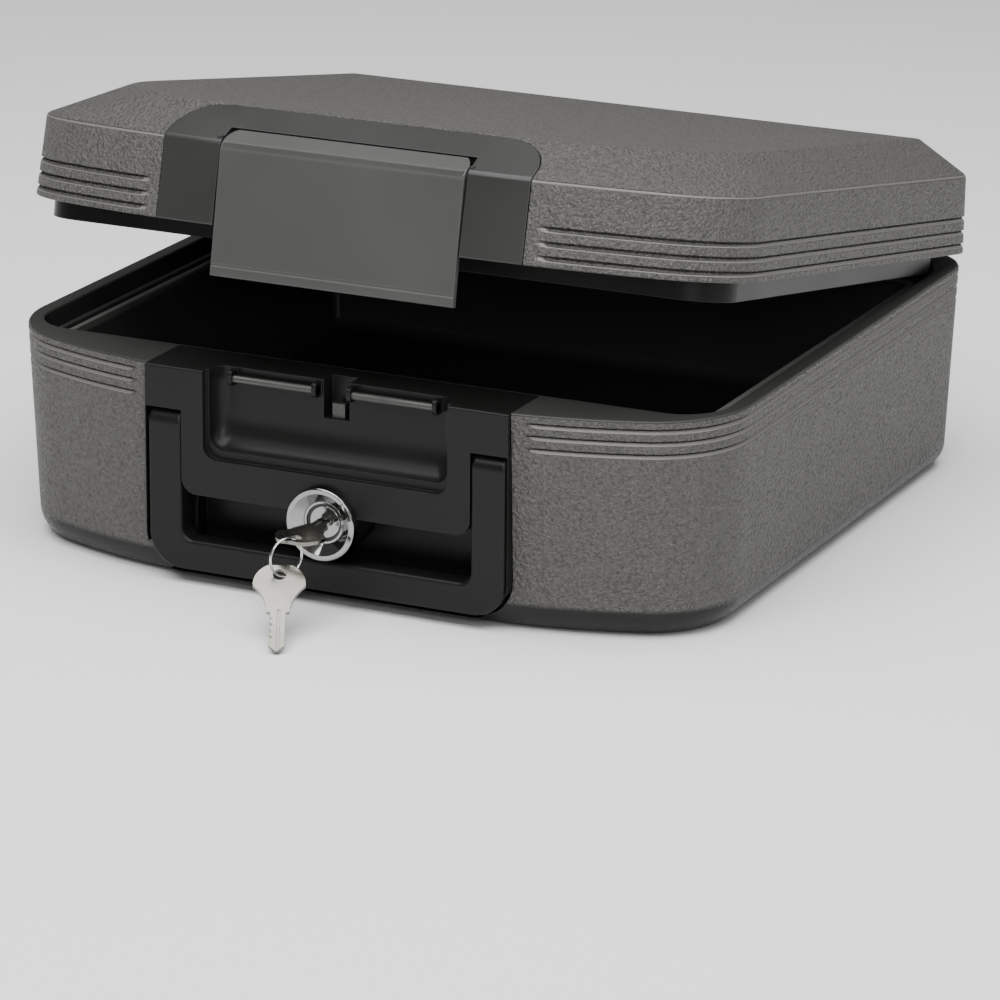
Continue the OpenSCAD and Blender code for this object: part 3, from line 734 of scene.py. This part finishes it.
def lid_trim():
    """The smooth cover round the flap, over the front and the sloped band."""
    skin = softened([(LID_EDGE_IN, LID_Z, 0), (-COVER_PROUD, LID_Z, LID_EDGE_R),
                     (LID_DRAFT - COVER_PROUD, LID_CORNER, LID_CORNER_R),
                     (BEVEL_W - COVER_PROUD, LID_TOP + 0.1, 0)], 7)
    trim = stacked("trim", walls(skin))
    keep_inside(trim, prism("plan", cover_plan(-0.1), LID_Z - 5, LID_TOP + 5, "z"))
    under = [(FLAP_T, LID_Z - 5), (FLAP_T + LID_DRAFT, LID_CORNER - 2),
             (FLAP_T + BEVEL_W, LID_TOP - FLAP_T)]
    cut(trim, stacked("under", walls(under)))
    window = round_rect(-RECESS_HALF, FRONT - 30, RECESS_HALF, FRONT + FLAP_END + 0.5,
                        (0, 0, FLAP_END_R + 0.5, FLAP_END_R + 0.5), 8)
    cut(trim, prism("window", window, LID_Z - 5, LID_TOP + 5, "z"))
    # the hollow box behind the window, in which the flap's barrel turns
    side = RECESS_HALF + 2.4
    pocket = block((-side, FRONT + 3.5, LID_Z + 2.6), (side, FRONT + 22, LID_CORNER + 2.6))
    cut(pocket, block((-RECESS_HALF, FRONT, LID_Z - 1),
                      (RECESS_HALF, FRONT + 19.6, LID_CORNER + 9)))
    joined(trim, pocket)
    cut(trim, rod("x", -RECESS_HALF, RECESS_HALF, (FLAP_AXIS_Y, FLAP_AXIS_Z), FLAP_ROOM_R))
    dress(trim, "lid_trim_cover", "lid", "trim_plastic", ["lid_trim"], lid_turn())


# ---------------------------------------------------------------- front moulding

def recess_tools():
    """The hollow under the flap: a shallow frame, then a deep middle with coved sides and floor."""
    corners = (RECESS_R, RECESS_R, 0, 0)
    top = RIM + 30
    wide = round_rect(-RECESS_HALF, RECESS_FLOOR, RECESS_HALF, top, corners)
    rows, steps = [], 12
    for i in range(steps + 1):
        sine = math.sin(math.pi / 2 * i / steps)
        curl = 1 - math.sqrt(1 - sine * sine)
        half = RECESS_HALF - (FRAME_SIDE + SIDE_COVE * curl)
        low = RECESS_FLOOR + (FRAME_LIP + COVE_R * curl)
        y = FRONT + FRAME_T - 0.05 + (RECESS_DEPTH - FRAME_T) * sine
        rows.append([(x, y, z) for x, z in round_rect(-half, low, half, top, corners)])
    return [prism("wide", wide, FRONT - 1, FRONT + FRAME_T), stacked("deep", rows)]


def channel():
    """The room for the folded handle."""
    outer = round_rect(-PANEL_HALF + CHANNEL_GAP, PANEL_FOOT + CHANNEL_GAP,
                       PANEL_HALF - CHANNEL_GAP, CHANNEL_TOP, (CHANNEL_R, CHANNEL_R, 0.5, 0.5), 14)
    room = prism("channel", outer, FRONT - 1, FRONT + CHANNEL_DEPTH)
    island = round_rect(-GRIP_HALF - 1, GRIP_TOP, GRIP_HALF + 1, CHANNEL_TOP + 20, (8, 8, 0, 0))
    boss = rod("y", FRONT - 3, FRONT + CHANNEL_DEPTH + 2, (0, LOCK_Z), BOSS_R)
    return cut(room, prism("island", island, FRONT - 2, FRONT + CHANNEL_DEPTH + 1), boss)


def catch_bar_place():
    """The bars' y and z, their radius and how far out they reach."""
    lo, hi = box_mm("catch_bars")
    return (lo.y + hi.y) / 2, (lo.z + hi.z) / 2, (hi.z - lo.z) / 2, hi.x


def front_panel():
    """The front moulding: recess, finger space, handle channel and lugs for the catch bars."""
    outline = round_rect(-PANEL_HALF, PANEL_FOOT, PANEL_HALF, RIM, (PANEL_R, PANEL_R, 0, 0), 16)
    side = softened([(FRONT + DECK, PANEL_FOOT, 0), (FRONT, PANEL_FOOT, 0), (FRONT, RIM, 1.2),
                     (FRONT + DECK, RIM, 0)], 5)
    panel = prism("panel", outline, FRONT - 1, FRONT + DECK)
    keep_inside(panel, prism("side", side, -PANEL_HALF - 1, PANEL_HALF + 1, "x"))
    cut(panel, *recess_tools())
    cut(panel, block((-SLOT_HALF, FRONT + RECESS_DEPTH - 1, SLOT_LOW),
                     (SLOT_HALF, FRONT + SLOT_DEPTH, RIM + 1)))
    grip = prism("grip", round_rect(-GRIP_HALF, HANDLE_LOW + 2, GRIP_HALF, GRIP_TOP, GRIP_R),
                 FRONT - 1, FRONT + GRIP_DEPTH)
    cut(grip, rod("y", FRONT - 3, FRONT + GRIP_DEPTH + 2, (0, LOCK_Z), BOSS_R))
    cut(panel, grip, channel())
    cut(panel, rod("y", FRONT - 1, FRONT + DECK + 1, (0, LOCK_Z), LOCK_HOLE))
    y, z, _, reach = catch_bar_place()
    lug = round_rect(y - 3.2, z - 3.4, FRONT + RECESS_DEPTH + 1, RIM - 0.6, (3, 0, 0, 2.4), 6)
    for s in (-1, 1):
        for x in (reach - LUG_HALF, LUG_X):
            joined(panel, prism("lug", lug, s * x - LUG_HALF, s * x + LUG_HALF, "x"))
    dress(panel, "front_panel_body", "base", "black_plastic",
          ["front_panel", "grip_pan", "latch_tray"])


def catch_bars():
    y, z, r, reach = catch_bar_place()
    inner = 8.3
    for s, side in ((-1, "left"), (1, "right")):
        bar = lathe("bar", [(r, s * inner), (r, s * reach)], (y, z), "x", 40)
        dress(bar, "catch_bar_" + side, "base", "bar_steel", ["catch_bars"] if s > 0 else ())


def handle():
    """The carry handle, a flat U whose ends round over the pivot."""
    outer = round_rect(-HANDLE_OUT, HANDLE_LOW, HANDLE_OUT, HANDLE_AXIS.z,
                       (HANDLE_R, HANDLE_R, 0, 0), 14)
    grip = prism("handle", outer, FRONT, FRONT + HANDLE_T)
    inner = round_rect(-HANDLE_OUT + LEG_W, BAR_TOP, HANDLE_OUT - LEG_W, HANDLE_AXIS.z + 30,
                       (HANDLE_IN_R, HANDLE_IN_R, 0, 0))
    cut(grip, prism("inner", inner, FRONT - 1, FRONT + HANDLE_T + 1))
    turns = [2 * math.pi * i / 64 for i in range(64)]
    end = [(FRONT + HANDLE_T / 2 * (1 + math.cos(a)), HANDLE_AXIS.z + HANDLE_END_R * math.sin(a))
           for a in turns]
    for s in (-1, 1):
        leg = sorted((s * HANDLE_OUT, s * (HANDLE_OUT - LEG_W)))
        joined(grip, prism("top", end, *leg, "x"))
    rounded(grip, HANDLE_SOFT, 40)
    dress(grip, "carry_grip", "carry_handle", "black_plastic", ["handle"], crease=60)


# ---------------------------------------------------------------- latch flap

def latch_flap():
    """A flat plate that curls over the lid's sloped band, with a lip, catches and an eye behind."""
    slope = BEVEL_H / (BEVEL_W - LID_DRAFT)
    back = FRONT + FLAP_T
    inner = back - 0.1
    end_y = FRONT + FLAP_END
    end_z = LID_CORNER + (FLAP_END - LID_DRAFT) * slope
    side = softened([(back, FLAP_LOW, 0), (FRONT, FLAP_LOW, 1.0), (FRONT, FLAP_LOW + 6, 0),
                     (FRONT + 0.5, LID_CORNER - 1.2, 7), (end_y, end_z, 0.9),
                     (end_y + FLAP_T * 0.45, end_z - FLAP_T * 0.86, 0.6),
                     (back + 0.6, LID_CORNER - 3.4, 4), (back, LID_CORNER - 12, 0)], 7)
    flap = prism("flap", side, -FLAP_HALF, FLAP_HALF, "x")
    plan = round_rect(-FLAP_HALF, FRONT - 10, FLAP_HALF, end_y + 1,
                      (0, 0, FLAP_END_R, FLAP_END_R))
    keep_inside(flap, prism("plan", plan, FLAP_LOW - 5, LID_TOP, "z"))
    # the crease above the lip
    cut(flap, rod("x", -FLAP_HALF - 1, FLAP_HALF + 1, (FRONT - 0.55, FLAP_LOW + 5.5), CREASE_R))
    # the barrel and its web, bored for the pin
    axis = (FLAP_AXIS_Y, FLAP_AXIS_Z)
    joined(flap, rod("x", -FLAP_HALF, FLAP_HALF, axis, BARREL_R),
           block((-FLAP_HALF + 1, FRONT + 1, FLAP_AXIS_Z - 3),
                 (FLAP_HALF - 1, FLAP_AXIS_Y, FLAP_AXIS_Z + 3)))
    cut(flap, rod("x", -FLAP_HALF - 2, FLAP_HALF + 2, axis, FLAP_PIN_R))
    lip = RECESS_HALF - 5
    joined(flap, block((-lip, inner, FLAP_LOW), (lip, back + 2, FLAP_LOW + 2)))
    for x in (-48, 22):
        joined(flap, block((x, inner, RIM - 13), (x + CATCH_W, FRONT + 11.5, RIM - 7.8)))
    eye = block((-6.4, inner, 101), (6.4, FRONT + 22.8, 105))
    cut(eye, block((-4, FRONT + 13.2, 100), (4, FRONT + 20.6, 106)))
    joined(flap, eye)
    dress(flap, "flap", "latch", "flap_plastic", ["latch_flap"], lid_turn())


# ---------------------------------------------------------------- lock and keys

def bezel():
    """A dished ring with a collar that reaches into the boss."""
    face = FRONT - BEZEL_OUT
    centre = (0, LOCK_Z)
    profile = softened([(8, FRONT - 0.1, 0), (BEZEL_R, FRONT - 0.1, 0), (BEZEL_R, face, 0.9),
                        (DISH_R, face, 0.5), (BEZEL_HOLE, FRONT + 1, 0.4),
                        (BEZEL_HOLE, FRONT + 1.3, 0)], 5)
    ring = lathe("bezel", profile, centre, steps=128)
    cut(ring, rod("y", FRONT - 6, FRONT + 3, centre, BEZEL_HOLE))
    collar = cut(rod("y", FRONT - 0.2, FRONT + 2.2, centre, 15),
                 rod("y", FRONT - 1, FRONT + 3, centre, 11))
    joined(ring, collar)
    dress(ring, "lock_bezel_ring", "base", "chrome", ["lock_bezel"], crease=50)


def plug():
    lo, hi = box_mm("lock_plug")
    back = hi.y - PLUG_STEM
    profile = softened([(2, lo.y, 0), (PLUG_R, lo.y, 0.5), (PLUG_R, back, 0),
                        (PLUG_STEM_R, back, 0), (PLUG_STEM_R, hi.y, 0), (2, hi.y, 0)], 4)
    barrel = lathe("plug", profile, (0, LOCK_Z))
    half_w, half_h = KEYWAY
    cut(barrel, block((-half_w, lo.y - 1, LOCK_Z - half_h),
                      (half_w, lo.y + KEYWAY_DEPTH, LOCK_Z + half_h)))
    dress(barrel, "lock_barrel", "lock_core", "chrome", ["lock_plug"], crease=40)


KEY_T = 1.8
HOLE_IN = 5.5
HOLE_R = 3.2
BOW_R = 12.8
BLADE_HALF = 3.8
BLADE_TIP = 38
FIRST_TOOTH = 21.5
TOOTH_PITCH = 3.8


def key_shape():
    """A flat key at the origin of its hole, blade along +Y."""
    low = math.degrees(math.asin(-11.4 / BOW_R))
    bow = arc(0, 0, BOW_R, low, 6, 14)
    bow += arc(29.6, 18.4, 24, 225, 182.5, 10)
    bow += [(5.6, 17.4), (BLADE_HALF, 17.9)]
    tip = [(BLADE_HALF, BLADE_TIP), (0.6, BLADE_TIP + BLADE_HALF - 0.5)]
    teeth = []
    for i in range(4):
        y, bottom = FIRST_TOOTH + i * TOOTH_PITCH, BLADE_HALF - (0.9 + 0.4 * (i % 2))
        teeth += [(BLADE_HALF, y - 1.3), (bottom, y - 0.35), (bottom, y + 0.35),
                  (BLADE_HALF, y + 1.3)]
    outline = [(x, y + HOLE_IN) for x, y in bow + teeth + tip + mirrored(bow + tip)]
    body = prism("key", outline, -KEY_T / 2, KEY_T / 2, "z")
    cut(body, rod("z", -3, 3, (0, 0), HOLE_R))
    groove = round_rect(-1.1, HOLE_IN + 16, 0.3, HOLE_IN + 41, 0.6)
    for z in (-KEY_T / 2, KEY_T / 2):
        cut(body, prism("groove", groove, z - 0.45, z + 0.45, "z"))
    return rounded(body, 0.22, 30, 2)


def keys():
    """One key in the lock, and one that hangs from the ring and leans forward."""
    in_lock = Matrix.Translation(joint_mm("ring_hang") * MM)
    dress(key_shape(), "key_in_lock", "inserted_key", "key_metal", ["key"], in_lock)
    lean, turn = math.radians(32.5), math.radians(25)
    hang = Matrix.Translation(joint_mm("spare_swing") * MM) @ Matrix.Rotation(turn, 4, "Z")
    hang = hang @ Matrix.Rotation(lean, 4, "X") @ Matrix.Rotation(math.pi, 4, "Z")
    dress(key_shape(), "key_hanging", "hanging_key", "key_metal", ["spare_key"], hang)


def split_ring():
    """Two turns of round wire, one beside the other."""
    lo, hi = box_mm("key_ring")
    centre = (lo + hi) / 2
    radius = (hi.z - lo.z) / 2 - 0.8
    wire, rise, sides, steps = 0.5, 0.95, 12, 160
    turn, first = math.radians(65), math.radians(30)
    rows = []
    for i in range(steps + 1):
        a = first + 4 * math.pi * i / steps
        shift = rise * (i / steps - 0.5)
        loop = []
        for k in range(sides):
            b = 2 * math.pi * k / sides
            r = radius + wire * math.cos(b)
            along, across = r * math.cos(a), shift + wire * math.sin(b)
            loop.append((centre.x + along * math.cos(turn) - across * math.sin(turn),
                         centre.y + along * math.sin(turn) + across * math.cos(turn),
                         centre.z + r * math.sin(a)))
        rows.append(loop)
    dress(stacked("ring", rows), "split_ring", "ring", "steel", ["key_ring"])


case_base()
base_rim()
case_lid()
lid_trim()
front_panel()
catch_bars()
handle()
latch_flap()
bezel()
plug()
keys()
split_ring()


# ---------------------------------------------------------------- CAD nodes that stay

def finish_cad_nodes():
    """Gives each CAD node the finish of its slot."""
    slots = {part["node"]: part["material_slot"] for part in frame["record"]["subparts"]}
    for name, node in frame["nodes"].items():
        node.data.materials.clear()
        node.data.materials.append(FINISH[slots[name]])
        for face in node.data.polygons:
            face.use_smooth = True
        node.data.set_sharp_from_angle(angle=math.radians(28))


finish_cad_nodes()


# ---------------------------------------------------------------- studio

FLOOR_SIZE = 30
FLOOR_WHITE = (0.86, 0.86, 0.86)
WORLD_STRENGTH = 0.12
LIT_POINT = (0, 0, 0.08)
LIGHTS = (  # name, place, width and height, watts
    ("overhead", (0.1, -0.25, 1.9), (2.4, 2.0), 80),
    ("strip", (0.1, -1.7, 1.7), (2.0, 0.35), 24),
    ("right", (2.3, -0.4, 1.3), (1.2, 1.6), 11),
    ("front", (1.0, -2.3, 1.0), (1.2, 0.6), 16),
)
CAMERA_PLACE = (1100.07, -2331.13, 825.57)
CAMERA_TURN = (25.13, 17.74, 0.46)  # azimuth, elevation, roll
LENS = 187.4
SENSOR = 36


def flat_material(name, colour, roughness):
    material = bpy.data.materials.new(name)
    material.use_nodes = True
    shader = material.node_tree.nodes["Principled BSDF"]
    shader.inputs["Base Color"].default_value = (*colour, 1)
    shader.inputs["Roughness"].default_value = roughness
    return material


def area_light(name, place, size, power):
    data = bpy.data.lights.new(name, "AREA")
    data.shape = "RECTANGLE"
    data.size, data.size_y = size
    data.energy = power
    light = bpy.data.objects.new(name, data)
    light.location = place
    aim = Vector(LIT_POINT) - Vector(place)
    light.rotation_euler = aim.to_track_quat("-Z", "Y").to_euler()
    bpy.context.scene.collection.objects.link(light)


def studio():
    """A pale floor, a dim white surrounding and four soft lights."""
    bpy.ops.mesh.primitive_plane_add(size=FLOOR_SIZE, location=(0, 0, 0))
    floor = bpy.context.object
    floor.name = "floor"
    floor.data.materials.append(flat_material("floor_white", FLOOR_WHITE, 0.7))
    world = bpy.data.worlds.new("studio")
    world.use_nodes = True
    background = world.node_tree.nodes["Background"]
    background.inputs["Color"].default_value = (1, 1, 1, 1)
    background.inputs["Strength"].default_value = WORLD_STRENGTH
    bpy.context.scene.world = world
    for light in LIGHTS:
        area_light(*light)


def camera():
    """A long lens, a little above the box and off to its right."""
    azimuth, elevation, roll = (math.radians(a) for a in CAMERA_TURN)
    data = bpy.data.cameras.new("camera")
    data.lens = LENS
    data.sensor_width = SENSOR
    data.clip_end = 100
    back = Vector((math.sin(azimuth) * math.cos(elevation),
                   -math.cos(azimuth) * math.cos(elevation), math.sin(elevation)))
    level = Vector((math.cos(azimuth), math.sin(azimuth), 0))
    right = Matrix.Rotation(roll, 3, back) @ level
    up = back.cross(right)
    obj = bpy.data.objects.new("camera", data)
    obj.matrix_world = Matrix((right, up, back)).transposed().to_4x4()
    obj.matrix_world.translation = Vector(CAMERA_PLACE) * MM
    bpy.context.scene.collection.objects.link(obj)
    bpy.context.scene.camera = obj


studio()
camera()
